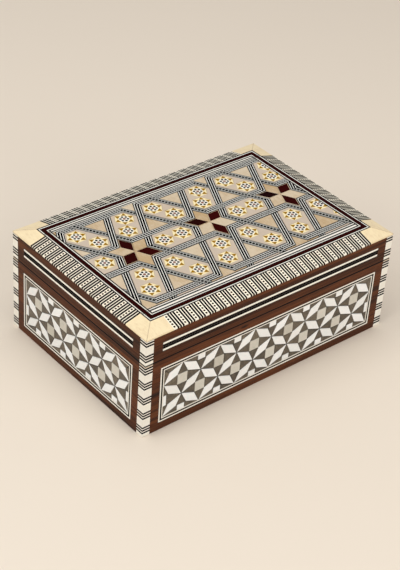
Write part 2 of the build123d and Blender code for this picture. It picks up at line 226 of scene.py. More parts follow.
class ChestSizes(PropertyGroup):
    """Sizes of the small work on the box."""

    tile_bevel: length("Tile Edge", "Worn edge round each inlaid tile", 0.00012)
    tile_sink: length("Tile Sink", "Deepest that a tile lies under its neighbours", 0.00005)
    tile_tilt: FloatProperty(
        name="Tile Tilt", description="Largest lean of a tile", default=radians(0.5), subtype="ANGLE",
    )
    relief: length("Relief", "Height of the small inlays over the piece they sit on", 0.00004)
    long_stripes: number("Long Stripes", "Groups of dark lines on a long border", 20)
    short_stripes: number("Short Stripes", "Groups of dark lines on a short border", 13)
    stripe_width: length("Stripe Width", "Width of a dark line of the border", 0.00126)
    stripe_pitch: length("Stripe Pitch", "Distance between dark lines in a group", 0.00195)
    dot_column: length("Dot Column", "Width of a column of brown dots", 0.0025)
    stripe_dot: length("Stripe Dot", "Radius of a brown dot of the border", 0.00072)
    dash_pitch: length("Dash Pitch", "Distance between the dashes of a strap", 0.002)
    frame_dash: length("Frame Dash", "Distance between the dashes of the frame lines", 0.0016)
    gold_radius: length("Gold Point", "Radius of a gold triangle in a medallion", 0.0019)
    gold_place: length("Gold Place", "Distance of the gold triangles from a medallion's middle", 0.0047)
    eye_radius: length("Medallion Eye", "Radius of the white middle of a medallion", 0.0036)
    bead_radius: length("Bead", "Radius of a dot in a medallion", 0.0009)
    bead_place: length("Bead Ring", "Radius of the ring of dots in a medallion", 0.0023)
    velvet_round: length("Velvet Edge", "Rounding of the edges of the velvet boards", 0.0014)
    screw_radius: length("Screw Head", "Radius of a hinge screw's head", 0.0016)
    screw_slot: length("Screw Slot", "Width of a hinge screw's slot", 0.0004)


class ChestColours(PropertyGroup):
    """Colours of the finishes."""

    wood_dark: colour("Wood Streak", "Dark streaks of the veneer", 33, 16, 8)
    wood_middle: colour("Wood", "Ground of the veneer", 75, 38, 18)
    wood_light: colour("Wood Light", "Pale figure of the veneer", 102, 55, 27)
    plain_wood: colour("Plain Wood", "Wood of the underside", 150, 104, 66)
    pearl: colour("Pearl", "White mother of pearl", 255, 255, 253)
    pearl_shade: colour("Pearl Shade", "Duller mother of pearl", 240, 239, 233)
    grey_pearl: colour("Grey Pearl", "Squares of grey pearl", 217, 212, 199)
    grey_pearl_shade: colour("Grey Pearl Shade", "Darker squares of grey pearl", 194, 188, 172)
    horn: colour("Horn", "Ground of the mosaic panels", 82, 70, 53)
    horn_dark: colour("Horn Dark", "Dark cloud in the horn", 40, 32, 23)
    horn_light: colour("Horn Light", "Pale cloud in the horn", 124, 110, 88)
    bone: colour("Bone", "Bone of the corner strips and strings", 246, 241, 229)
    bone_aged: colour("Bone Aged", "Yellowed bone", 228, 214, 186)
    corner_bone: colour("Corner Bone", "Warm bone of the lid's corners", 246, 225, 183)
    corner_aged: colour("Corner Aged", "Darker clouds in the bone of the lid's corners", 214, 181, 136)
    stripe: colour("Stripe Ground", "Ground of the border stripes", 250, 243, 225)
    cream: colour("Cream", "Ground of the medallions", 253, 234, 180)
    beige: colour("Beige Bone", "Triangles and pale rhombs of the lid", 217, 198, 170)
    beige_shade: colour("Beige Shade", "Streaks in the beige bone", 190, 158, 114)
    ground: colour("Field Ground", "Plates round the medallions", 205, 187, 168)
    ebony: colour("Ebony", "Black lines", 6, 5, 5)
    red_wood: colour("Red Wood", "Dark red rhombs and band", 60, 4, 4)
    gold: colour("Gold", "Triangles in the medallions", 160, 118, 20)
    brown_dot: colour("Brown Dot", "Dots of the border", 78, 54, 26)
    red_bead: colour("Red Bead", "Middle dot of a medallion", 140, 86, 68)
    strap_white: colour("Strap White", "White lines of the straps", 250, 248, 240)
    strap_grey: colour("Strap Grey", "Pale gaps between the dashes of the straps", 148, 147, 142)
    mastic: colour("Mastic", "Dark filling in the joints", 28, 21, 16)
    velvet: colour("Velvet", "Lining", 104, 14, 24)
    brass: colour("Brass", "Hinges and screws", 206, 166, 92)
    floor: colour("Floor", "Plain pale floor", 237, 223, 206)


def chest_sizes():
    """Sizes as they are set now."""
    return bpy.context.scene.chest_sizes


def worked(operation, swapped=False):
    """Method of a value that adds one Math node, for one of Python's operators."""
    def method(value, *others):
        terms = (*others, value) if swapped else (value, *others)
        return value.nodes.add("ShaderNodeMath", {"operation": operation}, dict(enumerate(terms)))
    return method


class Value:
    """Socket of a node tree, which sums and comparisons can be written with."""

    def __init__(self, nodes, socket):
        self.nodes = nodes
        self.socket = socket

    __add__ = worked("ADD")
    __radd__ = worked("ADD", swapped=True)
    __sub__ = worked("SUBTRACT")
    __rsub__ = worked("SUBTRACT", swapped=True)
    __mul__ = worked("MULTIPLY")
    __rmul__ = worked("MULTIPLY", swapped=True)
    __truediv__ = worked("DIVIDE")
    __rtruediv__ = worked("DIVIDE", swapped=True)
    __lt__ = worked("LESS_THAN")
    __gt__ = worked("GREATER_THAN")
    __abs__ = worked("ABSOLUTE")
    fraction = worked("FRACT")
    root = worked("SQRT")
    larger = worked("MAXIMUM")
    smaller = worked("MINIMUM")


class Nodes:
    """Node tree with one way to add a node: its type, its settings, then what goes into its sockets."""

    def __init__(self, tree):
        self.tree = tree

    def add(self, kind, settings=None, sockets=None, output=0):
        node = self.tree.nodes.new(kind)
        for key, setting in (settings or {}).items():
            if key == "stops":
                self.set_stops(node.color_ramp.elements, setting)
            else:
                setattr(node, key, setting)
        for key, given in (sockets or {}).items():
            for one in given if isinstance(given, list) else [given]:
                if isinstance(one, Value):
                    self.tree.links.new(one.socket, node.inputs[key])
                else:
                    node.inputs[key].default_value = one
        return Value(self, node.outputs[output]) if node.outputs else None

    def set_stops(self, elements, stops):
        """Give a ramp its stops, each a position and a colour."""
        while len(elements) < len(stops):
            elements.new(1)
        for element, (position, shade) in zip(elements, stops):
            element.position = position
            element.color = shade


class Finish(Nodes):
    """Material made of nodes, with the textures that the finishes share."""

    def __init__(self, name):
        self.material = bpy.data.materials.new(name)
        self.material.use_nodes = True
        super().__init__(self.material.node_tree)
        self.tree.nodes.clear()

    def colour(self, given):
        """One of the chest's colours by its name, or what is given when it isn't a name."""
        return (*getattr(bpy.context.scene.chest_colours, given), 1) if isinstance(given, str) else given

    def place(self, *scale):
        """Place on the object, stretched along each axis."""
        spot = self.add("ShaderNodeTexCoord", output="Object")
        return self.add("ShaderNodeMapping", {}, {"Vector": spot, "Scale": scale})

    def axes(self):
        """Place on the object, as three numbers."""
        spot = self.add("ShaderNodeTexCoord", output="Object")
        return [self.add("ShaderNodeSeparateXYZ", {}, {0: spot}, output) for output in range(3)]

    def noise(self, place, detail=3.0, roughness=0.5, distortion=0.0, scale=1.0):
        """Number between nothing and one that wanders with the place."""
        sockets = {
            "Vector": place, "Scale": scale, "Detail": detail,
            "Roughness": roughness, "Distortion": distortion,
        }
        return self.add("ShaderNodeTexNoise", {}, sockets)

    def clouds(self, scale, detail, roughness, distortion):
        """Noise that runs the same in all directions."""
        return self.noise(self.place(1, 1, 1), detail, roughness, distortion, scale)

    def attribute(self, name):
        """Number that the faces of a mesh carry under a name."""
        return self.add("ShaderNodeAttribute", {"attribute_name": name}, {}, "Fac")

    def between(self, value, low, high):
        """Smooth step from nothing at the low value to one at the high."""
        settings = {"interpolation_type": "SMOOTHSTEP"}
        return self.add("ShaderNodeMapRange", settings, {"Value": value, "From Min": low, "From Max": high})

    def mix(self, share, first, second, blend="MIX"):
        """Mix of two shades, each a link, a colour or its name."""
        settings = {"data_type": "RGBA", "blend_type": blend, "clamp_factor": True}
        sockets = {0: share, 6: self.colour(first), 7: self.colour(second)}
        return self.add("ShaderNodeMix", settings, sockets, 2)

    def number_mix(self, share, first, second):
        """Mix of two numbers."""
        return first * (1 - share) + second * share

    def ramp(self, value, *stops):
        """Shade that runs with a value through stops, each a position and a colour or its name."""
        stops = [(position, self.colour(shade)) for position, shade in stops]
        return self.add("ShaderNodeValToRGB", {"stops": stops}, {0: value})

    def surface(self, shade, roughness, height=None, depth=0.00005, constants=None):
        """The material, closed, with a bump where a height is given."""
        sockets = {"Base Color": shade, "Roughness": roughness, **(constants or {})}
        if height is not None:
            bump = {"Strength": 1.0, "Distance": depth, "Height": height}
            sockets["Normal"] = self.add("ShaderNodeBump", {}, bump)
        body = self.add("ShaderNodeBsdfPrincipled", {}, sockets)
        self.add("ShaderNodeOutputMaterial", {}, {"Surface": body})
        return self.material

    def darken(self, shade, where):
        """Shade that is nearly ebony where a mask is one."""
        return self.mix(where * 0.95, shade, "ebony")

    def seam_dirt(self, x, y, z):
        """One in the eased edges along the seam, where shade is painted into the gap between lid and base,
        and nothing elsewhere.
        """
        skin = (abs(x) - half_width).larger(abs(y) - half_depth) > -seam_ease
        return (1 - self.between(abs(z - seam), seam_shadow, seam_shadow + seam_ease)) * skin

    def strip_joints(self, z):
        """One on the dark glue between the layers of a corner strip, and nothing elsewhere."""
        above = (z - strip_foot - (z > seam) * seam) / strip_period
        along = above.fraction() * strip_period
        layer = (along / (2 * strip_line)).fraction() * (2 * strip_line)
        beside = (layer < strip_line + strip_glue).larger(layer > 2 * strip_line - strip_glue)
        return (beside * (along < strip_group + strip_glue)).larger(along > strip_period - strip_glue)

    def beside(self, width, *edges):
        """One on either side of some edges, each given with the distance that it is measured by."""
        marks = [abs(away - edge) < width for away, edge in edges]
        dark = marks[0]
        for mark in marks[1:]:
            dark = dark.larger(mark)
        return dark

    def frame_joints(self, x, y):
        """One on the dark glue beside the lines of the lid's frame, and nothing elsewhere."""
        _, (right, back, _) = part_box("lid_frame_ebony")
        around = (right - abs(x)).smaller(back - abs(y))
        edges = [(around, edge) for edge in frame_edges]
        edges += [(y + back, edge) for edge in front_rail_edges]
        edges += [(back - y, edge) for edge in back_rail_edges]
        return self.beside(frame_glue, *edges)

    def string_joints(self, x, y, z):
        """One on the dark glue beside the black string round a mosaic panel, and nothing elsewhere."""
        on_side = abs(x) > half_width - panel_side_margin / 2
        ends = self.number_mix(on_side, abs(x) - half_width, abs(y) - half_depth) + panel_side_margin
        middle, reach = (panel_low + panel_high) / 2, (panel_high - panel_low) / 2
        inside = ends.larger(abs(z - middle) - reach) * -1
        return self.beside(strip_glue, *[(inside, edge) for edge in string_edges])

    def glue_line(self, run, z, reach, low, high):
        """One on a hair line round an inlaid rectangle of a wall, and nothing elsewhere."""
        outside = (abs(run) - reach).larger(abs(z - (low + high) / 2) - (high - low) / 2)
        return (outside > 0) * (outside < glue_width)


def veneer(name, along, knot=False):
    """Dark streaked wood veneer under a thin lacquer, with its grain along one axis."""
    f = Finish(name)
    x, y, z = f.axes()
    lengthwise = along == "X"
    run, wall = (x, half_width) if lengthwise else (y, half_depth)

    def stretched(run_scale, side_scale, up_scale):
        scales = (run_scale, side_scale) if lengthwise else (side_scale, run_scale)
        return f.place(*scales, up_scale)

    streak = f.noise(stretched(8, 330, 330), 6, 0.6, 0.6)
    broad = f.noise(stretched(3, 55, 70), 3, 0.5, 0.8)
    pores = f.noise(stretched(70, 2600, 2600), 2)
    pore = f.between(pores, 0.58, 0.7)
    figure = streak * 0.68 + broad * 0.42
    stops = ((0.38, "wood_dark"), (0.52, "wood_middle"), (0.64, "wood_light"), (0.76, "wood_middle"))
    shade = f.mix(pore * 0.6, f.ramp(figure, *stops), "wood_dark")
    lines = f.glue_line(run, z, wall - band_end_margin, band_low, band_high)
    lines = lines.larger(f.glue_line(run, z, wall - panel_side_margin, panel_low, panel_high))
    # Dark glue lines round the bands and panels, and painted shade along the seam
    shade = f.darken(shade, lines.larger(f.seam_dirt(x, y, z)))
    if knot:
        across = (x - knot_place) / knot_length
        above = (z - seam + knot_drop) / knot_width
        away = (across * across + above * above).root()
        inside = (1 - f.between(away, 0.35, 1.0)) * (y < 0)
        shade = f.mix(inside * 0.9, shade, "wood_dark")
    return f.surface(shade, 0.36 + pores * 0.16, figure * 0.5 - pore, 0.00006, lacquer)


def plain_wood(name):
    """Bare pale wood of the underside."""
    f = Finish(name)
    grain = f.noise(f.place(9, 240, 240), 5, 0.6, 0.4)
    pores = f.noise(f.place(80, 2200, 2200), 2)
    shade = f.mix(grain, "wood_middle", "plain_wood")
    shade = f.mix(f.between(pores, 0.6, 0.72) * 0.5, shade, "wood_dark")
    return f.surface(shade, 0.55 + pores * 0.2, grain + pores * 0.4, 0.00008)


def shell(name, bright, dim, dimness):
    """Mother of pearl: cloudy, glossy, with a faint play of pink and blue."""
    f = Finish(name)
    clouds = f.clouds(330, 3, 0.55, 1.4)
    growth = f.clouds(1300, 2, 0.5, 2.2)
    tone = f.attribute("tone")
    share = f.between(tone * 0.62 + clouds * 0.55, 0.2, 0.95) * dimness
    shade = f.mix(share, bright, dim)
    play = f.ramp(clouds, (0.36, (1, 0.93, 0.95, 1)), (0.5, (1, 1, 1, 1)), (0.64, (0.92, 0.98, 1, 1)))
    shade = f.mix(0.45, shade, play, "MULTIPLY")
    gloss = {"Coat Weight": 0.4, "Coat Roughness": 0.08}
    return f.surface(shade, 0.14 + growth * 0.16, growth, 0.00002, gloss)


def horn(name):
    """Mottled grey-brown horn, each tile of its own darkness."""
    f = Finish(name)
    clouds = f.clouds(420, 5, 0.65, 1.0)
    fleck = f.clouds(1700, 2, 0.5, 0.5)
    mottle = clouds * 0.7 + f.attribute("tone") * 0.14 + fleck * 0.2 - 0.04
    stops = ((0.3, "horn_dark"), (0.5, "horn"), (0.72, "horn_light"))
    gloss = {"Coat Weight": 0.3, "Coat Roughness": 0.12}
    return f.surface(f.ramp(mottle, *stops), 0.22 + fleck * 0.2, fleck, 0.00003, gloss)


def bone(name, fresh, aged, share, joint=None):
    """Bone with fine streaks, yellowed in places, dark in the joints of the pieces made of it, and with
    painted shade along the seam on the corner strips.
    """
    f = Finish(name)
    streak = f.noise(f.place(900, 260, 260), 4, 0.6, 0.6)
    patch = f.clouds(110, 3, 0.5, 0.4)
    pores = f.clouds(2800, 2, 0.5, 0.0)
    tone = f.attribute("tone")
    wear = f.between(streak * 0.5 + patch * 0.4 + tone * 0.3, 0.35, 0.85)
    shade = f.mix(wear * share, fresh, aged)
    shade = f.mix(f.between(pores, 0.66, 0.76) * 0.25, shade, "beige_shade")
    x, y, z = f.axes()
    if joint == "mitre":
        away = abs(abs(x) - half_width - abs(y) + half_depth)
        shade = f.mix((away < glue_width) * 0.45, shade, "wood_light")
    if joint == "strip":
        worn = f.between(z, seam - 2 * worn_rim, seam - worn_rim) * (z < seam)
        shade = f.mix(worn * 0.7, shade, "beige_shade")
        # Painted shade along the seam, and dark glue between the strip's layers
        shade = f.darken(shade, f.seam_dirt(x, y, z).larger(f.strip_joints(z)))
    if joint == "frame":
        shade = f.darken(shade, f.frame_joints(x, y))
    if joint == "string":
        shade = f.darken(shade, f.string_joints(x, y, z))
    gloss = {"Coat Weight": 0.1, "Coat Roughness": 0.16}
    return f.surface(shade, 0.3 + pores * 0.2, streak - pores * 0.5, 0.00002, gloss)


def dark_inlay(name, ground, lift, dash=0.0, strength=0.0, middle=0.0, varied=0.0):
    """Dark inlaid wood with faint grain, plain, or with pale ticks along its line, some tiles darker."""
    f = Finish(name)
    grain = f.noise(f.place(500, 500, 900), 4, 0.6, 0.8)
    shade = f.mix(grain * lift, ground, "wood_light")
    if varied:
        shade = f.mix(f.attribute("tone") * varied, shade, "ebony")
    if dash:
        x, y, z = f.axes()
        tick = ((x + y) / dash).fraction() > tick_gap_share
        if middle:
            tick = tick * (abs(z - middle) < band_tick_reach)
        shade = f.mix(tick * strength, shade, "strap_white")
    return f.surface(shade, 0.4 + grain * 0.2, grain, 0.00002, dull)


def red_band(name):
    """Dark red band of the lid's frame, with a black edge on each side."""
    f = Finish(name)
    x, y, _ = f.axes()
    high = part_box("lid_frame_red")[1]
    inside = (high.x - abs(x)).smaller(high.y - abs(y)) / red_band_width
    grain = f.noise(f.place(400, 400, 900), 4, 0.6, 1.0)
    edge = abs(inside - 0.5) > red_band_core
    shade = f.mix(grain * 0.06, "red_wood", "wood_light")
    shade = f.mix(edge * 0.4 + 0.5, shade, "ebony")
    return f.surface(shade, 0.34 + grain * 0.2, grain, 0.00002, dull)


def strap_inlay(name):
    """Inlaid strap: white lines, black edges and two rows of dashes, or one row in those that lean left."""
    f = Finish(name)
    spot = f.add("ShaderNodeUVMap", {"uv_map": "strap"})
    along, across = [f.add("ShaderNodeSeparateXYZ", {}, {0: spot}, output) for output in range(2)]
    pitch = chest_sizes().dash_pitch
    away = abs(across)
    way = f.attribute("tone")
    leaning_right = way > 0.75
    leaning_left = (way > 0.25) * (way < 0.75)
    grain = f.noise(f.place(700, 700, 700), 3, 0.6)
    inner = away < strap_rows
    slant = ((along + across * dash_slant) / pitch).fraction()
    rows = (slant < row_dash_share + leaning_right * (1 - row_dash_share)) * (away > strap_middle) * inner
    edge_dashes = (along / pitch * edge_dash_rate).fraction() < edge_dash_share
    edge = (away > strap_edge) * (edge_dashes * 0.25 + 0.75)
    one_row = (along / pitch * single_dash_rate).fraction() < single_dash_share
    one_row = (one_row * (away < strap_single)).larger((away > strap_edge) * 0.8)
    dark = f.number_mix(leaning_left, rows.larger(edge), one_row)
    pale = (inner * 0.3 + grain * 0.15).larger(leaning_left * 0.9) * (1 - leaning_right * 0.8)
    shade = f.mix(dark, f.mix(pale, "strap_white", "strap_grey"), "ebony")
    return f.surface(shade, 0.36 + grain * 0.16, grain, 0.00002, dull)


def small_inlay(name, ground, variation, gloss):
    """Small coloured inlay with a little cloud in it."""
    f = Finish(name)
    cloud = f.clouds(900, 3, 0.6, 0.5)
    shade = f.mix(f.between(cloud, 0.35, 0.65) * variation, ground, "wood_dark")
    return f.surface(shade, gloss + cloud * 0.15, cloud, 0.00002, dull)


def velvet(name):
    """Short red pile, brushed in patches."""
    f = Finish(name)
    brushed = f.clouds(42, 3, 0.55, 0.8)
    pile = f.clouds(5200, 2, 0.6, 0.0)
    deep = f.mix(0.6, "velvet", (0.004, 0.0, 0.0, 1))
    shade = f.mix(f.between(brushed * 0.75 + pile * 0.4, 0.35, 0.8), deep, "velvet")
    sheen = {
        "Sheen Weight": 0.4, "Sheen Roughness": 0.35, "Sheen Tint": (0.9, 0.45, 0.45, 1),
        "Specular IOR Level": 0.15,
    }
    return f.surface(shade, 0.85 + pile * 0.12, pile, 0.00012, sheen)


def brass(name):
    """Brass with a dull patina and fine scratches."""
    f = Finish(name)
    patina = f.clouds(260, 4, 0.6, 0.6)
    scratch = f.noise(f.place(120, 4200, 2400), 2)
    shade = f.mix(f.between(patina, 0.45, 0.75) * 0.55, "brass", "wood_light")
    return f.surface(shade, 0.22 + patina * 0.25 + scratch * 0.1, scratch, 0.00002, {"Metallic": 1.0})


# Makers of the finishes, by the name of the finish
finish_makers = {
    "veneer_along_x": lambda name: veneer(name, "X"),
    "veneer_along_y": lambda name: veneer(name, "Y"),
    "veneer_front": lambda name: veneer(name, "X", True),
    "plain_wood": plain_wood,
    "pearl": lambda name: shell(name, "pearl", "pearl_shade", 0.7),
    "grey_pearl": lambda name: shell(name, "grey_pearl", "grey_pearl_shade", 1.0),
    "horn": horn,
    "bone": lambda name: bone(name, "bone", "bone_aged", 0.4),
    "cream": lambda name: bone(name, "cream", "bone_aged", 0.35),
    "stripe": lambda name: bone(name, "stripe", "bone_aged", 0.35),
    "beige_bone": lambda name: bone(name, "beige", "beige_shade", 1.0),
    "field_ground": lambda name: bone(name, "ground", "beige_shade", 0.45),
    "ebony": lambda name: dark_inlay(name, "ebony", 0.05),
    "dashed_ebony": lambda name: dark_inlay(name, "ebony", 0.03, chest_sizes().frame_dash, 0.06),
    "dotted_ebony": lambda name: dark_inlay(name, "ebony", 0.05, band_tick, 0.12, (band_low + band_high) / 2),
    "red_wood": lambda name: dark_inlay(name, "red_wood", 0.03, varied=0.85),
    "red_band": red_band,
    "corner_bone": lambda name: bone(name, "corner_bone", "corner_aged", 1.0, "mitre"),
    "strip_bone": lambda name: bone(name, "bone", "bone_aged", 0.4, "strip"),
    "frame_bone": lambda name: bone(name, "bone", "bone_aged", 0.4, "frame"),
    "string_bone": lambda name: bone(name, "bone", "bone_aged", 0.4, "string"),
    "strap": strap_inlay,
    "gold": lambda name: small_inlay(name, "gold", 0.12, 0.3),
    "brown_dot": lambda name: small_inlay(name, "brown_dot", 0.95, 0.3),
    "red_bead": lambda name: small_inlay(name, "red_bead", 0.2, 0.25),
    "mastic": lambda name: small_inlay(name, "mastic", 0.5, 0.5),
    "velvet": velvet,
    "brass": brass,
}


def finish(name):
    """Material by the name of its finish, made when first asked for."""
    full_name = f"{name}_finish"
    return bpy.data.materials.get(full_name) or finish_makers[name](full_name)


def dress(name, *nodes):
    """Give some nodes of the frame a finish."""
    for node in nodes:
        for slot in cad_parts[node].material_slots:
            slot.material = finish(name)


def settle(mesh, body, slot, *nodes):
    """Make a mesh a piece that rides on a body and stands for some nodes of the frame."""
    piece = bpy.data.objects.new(mesh.name, mesh)
    bpy.context.scene.collection.objects.link(piece)
    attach(piece, body)
    if nodes:
        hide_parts(*nodes)
    return piece


def area(outline):
    """Signed area of a flat outline, positive when it runs anticlockwise."""
    pairs = zip(outline, outline[1:] + outline[:1])
    return sum(ax * by - bx * ay for (ax, ay), (bx, by) in pairs) / 2


def inset(outline, amount):
    """Outline, anticlockwise, with every edge moved inwards by the same amount."""
    corners = outline if area(outline) > 0 else outline[::-1]
    moved = []
    for (ax, ay), (bx, by), (cx, cy) in zip(corners[-1:] + corners[:-1], corners, corners[1:] + corners[:1]):
        before = Vector((ay - by, bx - ax)).normalized()
        after = Vector((by - cy, cx - bx)).normalized()
        share = amount / max(sharpest_corner, 1 + before.dot(after))
        moved.append((bx + share * (before.x + after.x), by + share * (before.y + after.y)))
    return moved


def clip(outline):
    """Outline cut off at the edges of the star field."""
    for nx, ny, reach in field_limits:
        kept = []
        for (ax, ay), (bx, by) in zip(outline, outline[1:] + outline[:1]):
            a = reach - nx * ax - ny * ay
            b = reach - nx * bx - ny * by
            if a >= 0:
                kept.append((ax, ay))
            if a * b < 0:
                share = a / (a - b)
                kept.append((ax + share * (bx - ax), ay + share * (by - ay)))
        outline = kept
        if not outline:
            break
    return outline


# Points of the four walls, seen from outside: a to the right, b up and c out of the wall
wall_places = {
    "front": lambda a, b, c: (a, -half_depth - c, b),
    "back": lambda a, b, c: (-a, half_depth + c, b),
    "left": lambda a, b, c: (-half_width - c, -a, b),
    "right": lambda a, b, c: (half_width + c, a, b),
}


def field_place(a, b, c):
    """Point over the star field, c above the lid's top."""
    return (a, b, lid_top + c)


class Tiles:
    """Small flat pieces with worn edges, gathered in one mesh."""

    def __init__(self, name, seed):
        self.name = name
        self.points = []
        self.faces = []
        self.tones = []
        self.laid = []
        self.chance = random.Random(seed)

    def add(self, place, outline, depth, sink=0.0, run=None, tone=None):
        """One tile with its edge worn, a little sunk and leaning by chance."""
        sizes = chest_sizes()
        bevel = sizes.tile_bevel
        corners = outline if area(outline) > 0 else outline[::-1]
        middle = sum((Vector(corner) for corner in corners), Vector((0, 0))) / len(corners)
        reach = max((Vector(corner) - middle).length for corner in corners)
        low = sink + self.chance.uniform(0, sizes.tile_sink)
        lean = [self.chance.uniform(-sizes.tile_tilt, sizes.tile_tilt) / 2 for _ in range(2)]
        first = len(self.points)
        for ring, drop in ((corners, None), (corners, bevel), (inset(corners, bevel), 0)):
            for a, b in ring:
                slope = lean[0] * (a - middle.x) + lean[1] * (b - middle.y) - hypot(*lean) * reach
                height = -depth if drop is None else slope - low - drop
                self.points.append(place(a, b, height))
                self.laid.append(run(a, b) if run else (a, b))
        n = len(corners)
        self.faces.append([first + i for i in range(n)][::-1])
        for ring in (first, first + n):
            for i in range(n):
                j = (i + 1) % n
                self.faces.append([ring + i, ring + j, ring + n + j, ring + n + i])
        self.faces.append([first + 2 * n + i for i in range(n)])
        chosen = self.chance.random()
        self.tones += [chosen if tone is None else tone] * (2 * n + 2)

    def piece(self, body, slot, finish_name, *nodes):
        """All the tiles so far, as one piece in a finish."""
        mesh = bpy.data.meshes.new(self.name)
        mesh.from_pydata(self.points, [], self.faces)
        mesh.attributes.new("tone", "FLOAT", "FACE").data.foreach_set("value", self.tones)
        laid = mesh.uv_layers.new(name="strap")
        for loop in mesh.loops:
            laid.data[loop.index].uv = self.laid[loop.vertex_index]
        mesh.materials.append(finish(finish_name))
        return settle(mesh, body, slot, *nodes)


class Repeats(Nodes):
    """Geometry Nodes tree for pieces that repeat, with its sizes as named inputs."""

    def __init__(self, name, **sizes):
        super().__init__(bpy.data.node_groups.new(name, "GeometryNodeTree"))
        self.sizes = sizes
        sockets = self.tree.interface
        sockets.new_socket("Places", in_out="INPUT", socket_type="NodeSocketGeometry")
        for key, size in sizes.items():
            kind = "NodeSocketInt" if isinstance(size, int) else "NodeSocketFloat"
            sockets.new_socket(key, in_out="INPUT", socket_type=kind)
        sockets.new_socket("Pieces", in_out="OUTPUT", socket_type="NodeSocketGeometry")

    def take(self, *names):
        """Inputs of the tree by their names."""
        taken = [self.add("NodeGroupInput", {}, {}, name) for name in names]
        return taken if len(taken) > 1 else taken[0]

    def vector(self, x=0.0, y=0.0, z=0.0):
        return self.add("ShaderNodeCombineXYZ", {}, {0: x, 1: y, 2: z})

    def move(self, shape, shift=(0, 0, 0), turn=(0, 0, 0)):
        sockets = {"Geometry": shape, "Translation": shift, "Rotation": turn}
        return self.add("GeometryNodeTransform", {}, sockets)

    def spread(self, points, shape, turn=(0, 0, 0)):
        sockets = {"Points": points, "Instance": shape, "Rotation": turn}
        return self.add("GeometryNodeInstanceOnPoints", {}, sockets)

    def line(self, count, start, step):
        sockets = {"Count": count, "Start Location": start, "Offset": step}
        return self.add("GeometryNodeMeshLine", {"mode": "OFFSET"}, sockets)

    def disc(self, corners, radius, depth):
        sockets = {"Vertices": corners, "Radius": radius, "Depth": depth}
        return self.add("GeometryNodeMeshCylinder", {"fill_type": "NGON"}, sockets)

    def cube(self, x, y, z):
        return self.add("GeometryNodeMeshCube", {}, {"Size": self.vector(x, y, z)})

    def ring(self, count, radius):
        sockets = {"Vertices": count, "Radius": radius}
        return self.add("GeometryNodeMeshCircle", {"fill_type": "NONE"}, sockets)

    def join(self, *shapes):
        return self.add("GeometryNodeJoinGeometry", {}, {0: list(shapes)})

    def real(self, shape, finish_name):
        """Shape as real mesh in a finish."""
        whole = self.add("GeometryNodeRealizeInstances", {}, {"Geometry": shape})
        return self.add("GeometryNodeSetMaterial", {}, {"Geometry": whole, "Material": finish(finish_name)})

    def close(self, shape):
        """Shape as what the tree gives out."""
        whole = self.add("GeometryNodeRealizeInstances", {}, {"Geometry": shape})
        self.add("NodeGroupOutput", {}, {0: whole})

    def grow(self, points, **changed):
        """Plain mesh of what the tree makes at some points."""
        mesh = bpy.data.meshes.new(self.tree.name)
        mesh.from_pydata(points, [], [])
        holder = bpy.data.objects.new(self.tree.name, mesh)
        bpy.context.scene.collection.objects.link(holder)
        modifier = holder.modifiers.new("Repeats", "NODES")
        modifier.node_group = self.tree
        values = {**self.sizes, **changed}
        for item in self.tree.interface.items_tree:
            if item.in_out == "INPUT" and item.name in values:
                modifier[item.identifier] = values[item.name]
        graph = bpy.context.evaluated_depsgraph_get()
        grown = bpy.data.meshes.new_from_object(holder.evaluated_get(graph), depsgraph=graph)
        bpy.data.objects.remove(holder)
        bpy.data.meshes.remove(mesh)
        return grown


def gather(name, *meshes):
    """One mesh out of several that share their materials."""
    whole = bmesh.new()
    for mesh in meshes:
        whole.from_mesh(mesh)
    made = bpy.data.meshes.new(name)
    whole.to_mesh(made)
    whole.free()
    for material in meshes[0].materials:
        made.materials.append(material)
    return made


def petal(start, end, lean_x, lean_y):
    """Four-cornered petal between two points of the panel's grid."""
    mx, my = (start[0] + end[0]) / 2, (start[1] + end[1]) / 2
    return [start, (mx + lean_x, my + lean_y), end, (mx - lean_x, my - lean_y)]


